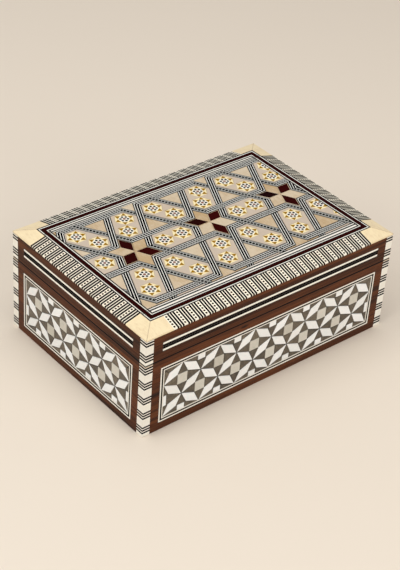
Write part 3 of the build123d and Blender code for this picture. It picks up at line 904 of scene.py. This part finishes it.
def mosaic(count, pitch):
    """Petals, squares and ground tiles of a panel, from its lower left corner inside the strings."""
    petals, squares, ground = [], [], []
    half = square_side / 2
    lean_x = pitch / 4 - half
    lean_y = row_height / 2 - half
    width = count * pitch
    height = mosaic_rows * row_height
    for n in range(count):
        left, middle, right = n * pitch, (n + 0.5) * pitch, (n + 1) * pitch
        for top, bottom in (((middle, height), (left, 2 * row_height)), ((middle, row_height), (left, 0))):
            petals.append(petal(top, bottom, -lean_x, lean_y))
            petals.append(petal(top, (right, bottom[1]), lean_x, lean_y))
        petals.append(petal((left, 2 * row_height), (middle, row_height), lean_x, lean_y))
        petals.append(petal((right, 2 * row_height), (middle, row_height), -lean_x, lean_y))
    whole = [((n + 0.5) * pitch, 2 * row_height) for n in range(count)]
    whole += [(n * pitch, row_height) for n in range(1, count)]
    for x, y in whole:
        ring = [(x - half, y - half), (x + half, y - half), (x + half, y + half), (x - half, y + half)]
        tips = [(x, y - row_height), (x + pitch / 2, y), (x, y + row_height), (x - pitch / 2, y)]
        squares.append(ring)
        for n, tip in enumerate(tips):
            ground.append([tip, ring[n], ring[(n + 1) % 4]])
    halves = [(n * pitch, height, -1) for n in range(1, count)]
    halves += [((n + 0.5) * pitch, 0, 1) for n in range(count)]
    reach = border_block_width / 2
    for x, y, up in halves:
        inside = y + up * half
        petals.append([(x - reach, y), (x + reach, y), (x + reach, inside), (x - reach, inside)])
        ground.append([(x, y + up * row_height), (x - half, inside), (x + half, inside)])
        for turn in (-1, 1):
            side = x + turn * reach
            ground.append([(x + turn * pitch / 2, y), (x + turn * half, inside), (side, inside), (side, y)])
    for edge, turn in ((0, 1), (width, -1)):
        inside = edge + turn * half
        beside = edge + turn * side_block_width
        low, high = row_height - half, row_height + half
        petals.append([(edge, low), (beside, low), (beside, high), (edge, high)])
        tip = (edge + turn * pitch / 2, row_height)
        ground.append([tip, (inside, high), (beside, high), (beside, low), (inside, low)])
        ground.append([(edge, 2 * row_height), (edge, high), (inside, high)])
        ground.append([(edge, 0), (edge, low), (inside, low)])
        corner = (inside, height - half)
        ground.append([(edge, 2 * row_height), (edge, height), corner])
        ground.append([(edge + turn * pitch / 2, height), (edge, height), corner])
    return petals, squares, ground


def on_field(s, t):
    """Point of the field from its place on the star grid."""
    row = row_back if t > 0 else row_front
    x = star_shift_right + s * star_pitch + t * (star_pitch / 2 - star_row_lean)
    return (x, star_shift_back + t * row)


def turned(outline, times):
    """Outline turned by thirds of a circle about the grid's origin."""
    for _ in range(times):
        outline = [(-s - t, s) for s, t in outline]
    return outline


def medallion(x, y):
    """Outline of a six-sided medallion, with its corners along the straps."""
    turns = [n * pi / 3 for n in range(6)]
    return [(x + medallion_radius * cos(turn), y + medallion_radius * sin(turn)) for turn in turns]


# Straps and triangles on the star grid, where a step of one leads to the next star
row_middle = (row_back + row_front) / 2
strap_mid = strap_offset / row_middle
strap_half = strap_width / row_middle / 2
strap_near = strap_mid - strap_half
strap_far = strap_mid + strap_half
strap_cross = 1 - 2 * strap_mid
strap_cut = strap_cross - 2 * strap_half
strap_end = 1 - strap_mid
strap_long = [(0, strap_near), (strap_cross, strap_near), (strap_cut, strap_far), (0, strap_far)]
strap_short = [
    (strap_cross + 2 * strap_half, strap_near), (strap_end + strap_half, strap_near),
    (strap_end - strap_half, strap_far), (strap_cross, strap_far),
]
star_triangle = [(strap_far, strap_far), (strap_cut, strap_far), (strap_far, strap_cut)]
star_arms = [(1, 0), (0, 1), (-1, 1), (-1, 0), (0, -1), (1, -1)]
star_grid = [(i, j) for i in range(-3, 4) for j in range(-3, 4)]


def kept_tile(outline, joint):
    """Tile of the field cut off at its edges, or nothing where too little is left."""
    outline = clip(inset(outline, joint / 2))
    return outline if len(outline) > 2 and abs(area(outline)) > smallest_tile_area else None


class CHEST_OT_boards(Operator):
    """Dress the boards of the base and the lid in veneer"""

    bl_idname = "chest.boards"
    bl_label = "Wood Boards"

    def execute(self, context):
        dress("veneer_front", "base_front_board")
        dress("veneer_along_x", "base_back_board", "lid_front_board", "lid_back_board", "lid_top_board")
        dress("veneer_along_y", "base_left_board", "base_right_board", "lid_left_board", "lid_right_board")
        dress("plain_wood", "base_floor_board")
        return {"FINISHED"}


class CHEST_OT_lines(Operator):
    """Dress the corner strips, strings, rim bands and frame lines"""

    bl_idname = "chest.lines"
    bl_label = "Bone and Ebony Lines"

    def execute(self, context):
        dress("strip_bone", "base_strip_bone", "lid_strip_bone")
        dress("bone", "lid_band_bone")
        dress("frame_bone", "lid_frame_bone")
        dress("string_bone", "base_bone_strings")
        dress("corner_bone", "lid_bone_corners")
        dress("ebony", "base_strip_ebony", "lid_strip_ebony", "base_ebony_strings")
        dress("dashed_ebony", "lid_frame_ebony")
        dress("dotted_ebony", "lid_band_ebony")
        dress("red_band", "lid_frame_red")
        dress("mastic", "mosaic_beds")
        dress("cream", "lid_field_bed")
        dress("field_ground", "lid_field_ground")
        return {"FINISHED"}


class CHEST_OT_mosaics(Operator):
    """Lay the pearl and horn mosaic on the four walls of the base"""

    bl_idname = "chest.mosaics"
    bl_label = "Side Mosaics"

    def execute(self, context):
        for seed, (side, place) in enumerate(wall_places.items()):
            reach = wall_reach[side] - panel_reach_inset
            pitch = 2 * reach / mosaic_columns[side]
            kinds = (("pearl_petals", "pearl"), ("grey_squares", "grey_pearl"), ("horn_ground", "horn"))
            layers = zip(kinds, mosaic(mosaic_columns[side], pitch))
            for layer, ((kind, finish_name), outlines) in enumerate(layers):
                tiles = Tiles(f"{side}_{kind}_laid", 10 * seed + layer)
                for outline in outlines:
                    placed = [(a - reach, b + mosaic_low) for a, b in inset(outline, mosaic_joint / 2)]
                    tiles.add(place, placed, mosaic_thickness)
                tiles.piece("base", finish_name, finish_name, f"{side}_{kind}")
        return {"FINISHED"}


class CHEST_OT_border(Operator):
    """Lay the striped border round the lid, with its dark lines and brown dots"""

    bl_idname = "chest.border"
    bl_label = "Striped Border"

    def execute(self, context):
        sizes = context.scene.chest_sizes
        tree = self.stripes(sizes)
        meshes = []
        strips = Tiles("border_strips", 71)
        for side, turn in (("front", 0), ("right", pi / 2), ("back", pi), ("left", -pi / 2)):
            long_side = side in ("front", "back")
            count = sizes.long_stripes if long_side else sizes.short_stripes
            run = 2 * (wall_reach[side] - bone_corner_arm)
            away = half_depth if long_side else half_width
            stand = Matrix.Rotation(turn, 4, "Z") @ Matrix.Translation((0, -away, border_low))
            if long_side:
                pitch = run / count
                start = (sizes.dot_column - run) / 2
                first, columns = start + pitch / 2, count
            else:
                first = sizes.stripe_pitch + (sizes.stripe_width - run) / 2
                pitch = 2 * first / (1 - count)
                start, columns = first + pitch / 2, count - 1
            places = {"Groups": count, "First": first, "Columns": columns, "Start": start, "Pitch": pitch}
            grown = tree.grow([(0, 0, 0)], **places)
            grown.transform(stand)
            meshes.append(grown)
            self.strip(strips, stand, run / 2, sizes.relief)
        strips.piece("lid", "striped_strip", "stripe", *[f"lid_border_{side}" for side in wall_places])
        settle(gather("border_stripes_and_dots", *meshes), "lid", "striped_strip")
        return {"FINISHED"}

    def stripes(self, sizes):
        """Dark lines in threes on the slope and the edge of one side, and columns of dots between them."""
        tree = Repeats(
            "border_stripes", Groups=0, First=0.0, Columns=0, Start=0.0, Pitch=0.0, Width=sizes.stripe_width,
            Step=sizes.stripe_pitch, Relief=sizes.relief, Dot=sizes.stripe_dot,
        )
        width, step, pitch, relief = tree.take("Width", "Step", "Pitch", "Relief")
        slope = (0, border_width / 2, border_edge + border_rise / 2)
        lean = (border_slope, 0, 0)
        sunk = tree.vector(0, 0, relief * -1)
        thick = relief * 2
        top = tree.move(tree.cube(width, border_slope_length, thick), sunk)
        top = tree.move(top, slope, lean)
        edge = tree.move(tree.cube(width, thick, border_edge), tree.vector(0, relief, border_edge / 2))
        trio = tree.line(3, tree.vector(step * -1), tree.vector(step))
        lines = tree.spread(trio, tree.join(top, edge))
        middles = tree.line(tree.take("Groups"), tree.vector(tree.take("First")), tree.vector(pitch))
        lines = tree.real(tree.spread(middles, lines), "ebony")
        lowest = (1 - border_dots) / 2 * border_dot_step
        column = tree.line(border_dots, (0, lowest, 0), (0, border_dot_step, 0))
        dots = tree.spread(column, tree.disc(10, tree.take("Dot"), thick))
        dots = tree.move(tree.move(dots, sunk), slope, lean)
        between = tree.line(tree.take("Columns"), tree.vector(tree.take("Start")), tree.vector(pitch))
        dots = tree.real(tree.spread(between, dots), "brown_dot")
        tree.close(tree.join(lines, dots))
        return tree

    def strip(self, strips, stand, reach, relief):
        """Cream strip under the stripes, a little lower than their tops."""
        profile = [
            (relief, 0), (border_width, border_rise),
            (border_width, border_rise + border_edge), (relief, border_edge),
        ]
        drop = [0, 0, relief, relief]
        first = len(strips.points)
        for x in (-reach, reach):
            for (y, z), lower in zip(profile, drop):
                strips.points.append(tuple(stand @ Vector((x, y, z - lower))))
                strips.laid.append((x, y))
        faces = [[0, 3, 2, 1], [4, 5, 6, 7]] + [[i, (i + 1) % 4, 4 + (i + 1) % 4, 4 + i] for i in range(4)]
        strips.faces += [[first + i for i in face[::-1]] for face in faces]
        strips.tones += [strips.chance.random()] * len(faces)


class CHEST_OT_stars(Operator):
    """Lay the stars, triangles and straps of the lid"""

    bl_idname = "chest.stars"
    bl_label = "Stars and Straps"

    def execute(self, context):
        red, pale = Tiles("red_rhombs_laid", 21), Tiles("bone_rhombs_laid", 22)
        triangles, straps = Tiles("bone_triangles_laid", 23), Tiles("straps_laid", 24)
        depth = lid_top - bed_top
        for i, j in star_grid:
            for n in range(6):
                (s0, t0), (s1, t1) = star_arms[n], star_arms[(n + 1) % 6]
                corners = [(0, 0), (s0, t0), (s0 + s1, t0 + t1), (s1, t1)]
                outline = [on_field(i + strap_near * s, j + strap_near * t) for s, t in corners]
                is_red = j == 0 and -1 <= i <= 1 and (n % 2 == 1) == (i == -1)
                kept = kept_tile(outline, rhomb_joint)
                if kept:
                    pale.add(field_place, kept, depth, rhomb_step if is_red else 0)
                if is_red:
                    red.add(field_place, kept_tile(outline, rhomb_outline), depth)
            for flip in (1, -1):
                outline = [(i + 0.5 + flip * (s - 0.5), j + 0.5 + flip * (t - 0.5)) for s, t in star_triangle]
                outline = kept_tile([on_field(s, t) for s, t in outline], triangle_joint)
                if outline:
                    triangles.add(field_place, outline, depth)
            for times in range(3):
                for bar in (strap_long, strap_short):
                    for flip in (1, -1):
                        self.strap(straps, i, j, times, bar, flip, depth)
        red.piece("lid", "red_wood", "red_wood", "lid_star_red_rhombs")
        pale.piece("lid", "beige_bone", "beige_bone", "lid_star_bone_rhombs")
        triangles.piece("lid", "beige_bone", "beige_bone", "lid_bone_triangles")
        straps.piece("lid", "strap_strip", "strap", "lid_straps")
        return {"FINISHED"}

    def strap(self, straps, i, j, times, bar, flip, depth):
        """One length of strap, laid out along its own middle line."""
        outline = turned([(0.5 + flip * (s - 0.5), flip * t) for s, t in bar], times)
        corners = [Vector(on_field(i + s, j + t)) for s, t in outline]
        start = (corners[0] + corners[3]) / 2
        ahead = (corners[1] - corners[0]).normalized()
        aside = Vector((-ahead.y, ahead.x))
        kept = kept_tile([tuple(corner) for corner in corners], strap_joint)
        if not kept:
            return

        def run(a, b):
            away = Vector((a, b)) - start
            return (away.dot(ahead) + 1, away.dot(aside))

        straps.add(field_place, kept, depth, 0, run, times / 2)


class CHEST_OT_medallions(Operator):
    """Set the cream medallions of the lid with gold points, white eyes and dots"""

    bl_idname = "chest.medallions"
    bl_label = "Medallions"

    def execute(self, context):
        sizes = context.scene.chest_sizes
        centres = []
        grounds = Tiles("medallion_grounds", 31)
        for i, j in star_grid:
            for times in range(3):
                (ax, ay), (bx, by) = [on_field(i + s, j + t) for s, t in turned([(0, 0), (1, 0)], times)]
                for turn in (-1, 1):
                    share = (1 + turn * medallion_spacing / star_pitch) / 2
                    x, y = ax + share * (bx - ax), ay + share * (by - ay)
                    outline = clip(medallion(x, y))
                    if len(outline) < 3 or abs(area(outline)) < smallest_tile_area:
                        continue
                    grounds.add(field_place, outline, lid_top - bed_top, 2 * sizes.relief)
                    centres.append((x, y, lid_top))
        grounds.piece("lid", "bone", "cream", "lid_medallions")
        settle(self.inlays(sizes, centres), "lid", "bone")
        return {"FINISHED"}

    def inlays(self, sizes, centres):
        """Gold points, white eyes and dots of every medallion, cut off at the field's edges."""
        tree = Repeats(
            "medallion_inlays", Point=sizes.gold_radius, Away=sizes.gold_place, Eye=sizes.eye_radius,
            Bead=sizes.bead_radius, Ring=sizes.bead_place, Relief=sizes.relief,
        )
        bead, relief = tree.take("Bead", "Relief")
        hub = tree.ring(6, medallion_hub)
        turn = tree.vector(0, 0, tree.add("GeometryNodeInputIndex") * (pi / 3))

        def dot(corners, radius, away, drop):
            return tree.move(tree.disc(corners, radius, relief * 4), tree.vector(away, 0, relief * -drop))

        points = tree.spread(hub, dot(3, *tree.take("Point", "Away"), 3), turn)
        beads = tree.spread(hub, dot(8, bead, tree.take("Ring"), 2), turn)
        beads = tree.move(beads, (0, 0, 0), (0, 0, pi / 6))
        eye = dot(12, tree.take("Eye"), 0, 2.5)
        heart = dot(8, bead * heart_share, 0, 2)
        parts = ((points, "gold"), (eye, "bone"), (beads, "ebony"), (heart, "red_bead"))
        whole = tree.join(*[tree.real(shape, finish_name) for shape, finish_name in parts])
        tree.close(tree.spread(tree.take("Places"), whole))
        grown = tree.grow(centres)
        work = bmesh.new()
        work.from_mesh(grown)
        for nx, ny, reach in field_limits:
            way = Vector((nx, ny, 0))
            every = work.verts[:] + work.edges[:] + work.faces[:]
            plane = {"plane_co": way * reach, "plane_no": way, "clear_outer": True}
            cut = bmesh.ops.bisect_plane(work, geom=every, **plane)
            rims = [part for part in cut["geom_cut"] if isinstance(part, bmesh.types.BMEdge)]
            bmesh.ops.contextual_create(work, geom=rims)
            bmesh.ops.holes_fill(work, edges=[edge for edge in work.edges if edge.is_boundary])
        grown.name = "medallion_inlays"
        work.to_mesh(grown)
        work.free()
        return grown


class CHEST_OT_lining(Operator):
    """Line the base and the lid with velvet boards"""

    bl_idname = "chest.lining"
    bl_label = "Velvet Lining"

    def execute(self, context):
        for body in ("base", "lid"):
            pad_low, pad_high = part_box(f"{body}_lining_pad")
            low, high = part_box(f"{body}_lining_walls")
            left, right = low.x + lining_thickness, high.x - lining_thickness
            front, back = low.y + lining_thickness, high.y - lining_thickness
            work = bmesh.new()
            self.board(work, pad_low, pad_high, 2, 1 if body == "base" else -1)
            self.board(work, low, Vector((high.x, front, high.z)), 1, 1)
            self.board(work, Vector((low.x, back, low.z)), high, 1, -1)
            self.board(work, Vector((low.x, front, low.z)), Vector((left, back, high.z)), 0, 1)
            self.board(work, Vector((right, front, low.z)), Vector((high.x, back, high.z)), 0, -1)
            bmesh.ops.recalc_face_normals(work, faces=work.faces[:])
            mesh = bpy.data.meshes.new(f"{body}_velvet_lining")
            work.to_mesh(mesh)
            work.free()
            for face in mesh.polygons:
                face.use_smooth = True
            mesh.materials.append(finish("velvet"))
            piece = settle(mesh, body, "velvet", f"{body}_lining_pad", f"{body}_lining_walls")
        return {"FINISHED"}

    def board(self, work, low, high, normal, way):
        """Crowned velvet board with rounded edges, its flat back against the wood."""
        soft = chest_sizes().velvet_round
        thick = high[normal] - low[normal]
        first, second = [axis for axis in range(3) if axis != normal]
        columns, lines = [self.steps(low[axis], high[axis], soft) for axis in (first, second)]
        base = low[normal] if way > 0 else high[normal]
        rows = []
        for u in columns:
            row = []
            for v in lines:
                edge = min(u - low[first], high[first] - u, v - low[second], high[second] - v)
                share = min(1.0, max(0.0, edge / soft))
                crown = min(1.0, max(0.0, edge / (lining_crown_reach * soft)))
                wave = 0.5
                for a, b in lining_waves:
                    wave += 0.25 * sin(a * u + b * v)
                swell = lining_flat_share + lining_crown_share * crown + lining_wave_share * wave
                rise = thick * (1 - (1 - share) ** 3) * swell
                point = [0.0, 0.0, 0.0]
                point[first], point[second], point[normal] = u, v, base + way * rise
                row.append(work.verts.new(point))
            rows.append(row)
        for one, two in zip(rows, rows[1:]):
            for a, b, c, d in zip(one, one[1:], two[1:], two):
                work.faces.new((a, b, c, d))
        rim = rows[0] + [row[-1] for row in rows[1:]] + rows[-1][-2::-1] + [row[0] for row in rows[-2:0:-1]]
        work.faces.new(rim)

    def steps(self, low, high, soft):
        """Places across a board, closer together at its rounded edges."""
        near = [soft * share for share in (0, 0.08, 0.2, 0.4, 0.65, 1.0)]
        count = max(2, round((high - low - 2 * soft) / lining_grid))
        inside = [low + soft + (high - low - 2 * soft) * n / count for n in range(1, count)]
        return [low + step for step in near] + inside + [high - step for step in near[::-1]]


class CHEST_OT_hinges(Operator):
    """Dress the hinges in brass and set their screws"""

    bl_idname = "chest.hinges"
    bl_label = "Hinges and Screws"

    def execute(self, context):
        sizes = context.scene.chest_sizes
        for side in ("left", "right"):
            dress("brass", f"hinge_{side}_base_leaf", f"hinge_{side}_lid_leaf", f"hinge_{side}_pin")
        tree = Repeats("hinge_screws", Head=sizes.screw_radius, Slot=sizes.screw_slot, Height=screw_rise)
        head, height = tree.take("Head", "Height")
        blank = tree.disc(24, head, height * 2)
        slot = tree.move(tree.cube(head * 3, tree.take("Slot"), height * 2), tree.vector(0, 0, height))
        slotted = tree.add("GeometryNodeMeshBoolean", {"operation": "DIFFERENCE"}, {0: blank, 1: slot})
        angle = tree.vector(0, 0, tree.add("GeometryNodeInputIndex") * screw_next_turn + screw_first_turn)
        tree.close(tree.real(tree.spread(tree.take("Places"), slotted, angle), "brass"))
        middles = (-hinge_middle, hinge_middle)
        spots = [x + step for x in middles for step in (-screw_spread, screw_spread)]
        for body, turn in (("base", 1), ("lid", -1)):
            grown = tree.grow([(x, turn * screw_back, 0) for x in spots])
            grown.transform(Matrix.Rotation(0 if turn > 0 else pi, 4, "X"))
            grown.transform(Matrix.Translation((0, 0, seam - turn * leaf_gap)))
            grown.name = f"{body}_hinge_screws"
            settle(grown, body, "brass")
        return {"FINISHED"}


class CHEST_OT_stage(Operator):
    """Set the plain floor, the soft lamps and the camera"""

    bl_idname = "chest.stage"
    bl_label = "Stage"

    def execute(self, context):
        scene = context.scene
        scene.view_settings.view_transform = "Standard"
        self.floor(scene)
        self.light(scene)
        self.camera(scene)
        return {"FINISHED"}

    def floor(self, scene):
        mesh = bpy.data.meshes.new("floor")
        signs = ((-1, -1), (1, -1), (1, 1), (-1, 1))
        mesh.from_pydata([(x * floor_reach, y * floor_reach, 0) for x, y in signs], [], [(0, 1, 2, 3)])
        f = Finish("floor")
        cloud = f.clouds(5, 3, 0.5, 0.2)
        r, g, b, _ = f.colour("floor")
        shade = f.mix(cloud * 0.3, (r, g, b, 1), (r * 0.94, g * 0.93, b * 0.91, 1))
        mesh.materials.append(f.surface(shade, 0.45 + cloud * 0.1))
        floor = bpy.data.objects.new("floor", mesh)
        scene.collection.objects.link(floor)

    def light(self, scene):
        world = bpy.data.worlds.new("soft_room")
        scene.world = world
        world.use_nodes = True
        back = world.node_tree.nodes["Background"]
        back.inputs["Color"].default_value = (*warm_white, 1)
        back.inputs["Strength"].default_value = room_light
        for name, spot, size, power, tint in lamps:
            lamp = bpy.data.lights.new(name, "AREA")
            lamp.size = size
            lamp.energy = power
            lamp.color = tint
            holder = bpy.data.objects.new(name, lamp)
            holder.location = spot
            holder.rotation_euler = (-Vector(spot)).to_track_quat("-Z", "Y").to_euler()
            scene.collection.objects.link(holder)

    def camera(self, scene):
        turn, rise, roll = radians(camera_turn), radians(camera_rise), radians(camera_roll)
        back = Vector((sin(turn) * cos(rise), -cos(turn) * cos(rise), sin(rise)))
        level = Vector((cos(turn), sin(turn), 0))
        upright = back.cross(level)
        right = cos(roll) * level + sin(roll) * upright
        up = cos(roll) * upright - sin(roll) * level
        axes = Matrix((right, up, back)).transposed()
        spot = axes @ Vector(camera_place)
        lens = bpy.data.cameras.new("camera")
        lens.sensor_width = camera_sensor
        lens.lens = camera_focus / picture_height * camera_sensor
        holder = bpy.data.objects.new("camera", lens)
        holder.matrix_world = Matrix.Translation(spot) @ axes.to_4x4()
        scene.collection.objects.link(holder)
        scene.camera = holder


class CHEST_PT_panel(Panel):
    """Steps, sizes and colours of the chest box"""

    bl_label = "Chest Box"
    bl_idname = "CHEST_PT_panel"
    bl_space_type = "VIEW_3D"
    bl_region_type = "UI"
    bl_category = "Chest Box"

    def draw(self, context):
        for made in operators:
            self.layout.operator(made.bl_idname)
        for group in (context.scene.chest_sizes, context.scene.chest_colours):
            for key in group.__annotations__:
                self.layout.prop(group, key)


operators = (
    CHEST_OT_boards, CHEST_OT_lines, CHEST_OT_mosaics, CHEST_OT_border, CHEST_OT_stars,
    CHEST_OT_medallions, CHEST_OT_lining, CHEST_OT_hinges, CHEST_OT_stage,
)
classes = (ChestSizes, ChestColours) + operators + (CHEST_PT_panel,)


def register():
    for made in classes:
        bpy.utils.register_class(made)
    bpy.types.Scene.chest_sizes = PointerProperty(type=ChestSizes)
    bpy.types.Scene.chest_colours = PointerProperty(type=ChestColours)


def unregister():
    del bpy.types.Scene.chest_colours
    del bpy.types.Scene.chest_sizes
    for made in reversed(classes):
        bpy.utils.unregister_class(made)


def main():
    register()
    bpy.ops.chest.boards()
    bpy.ops.chest.lines()
    bpy.ops.chest.mosaics()
    bpy.ops.chest.border()
    bpy.ops.chest.stars()
    bpy.ops.chest.medallions()
    bpy.ops.chest.lining()
    bpy.ops.chest.hinges()
    bpy.ops.chest.stage()


if __name__ == "__main__":
    main()
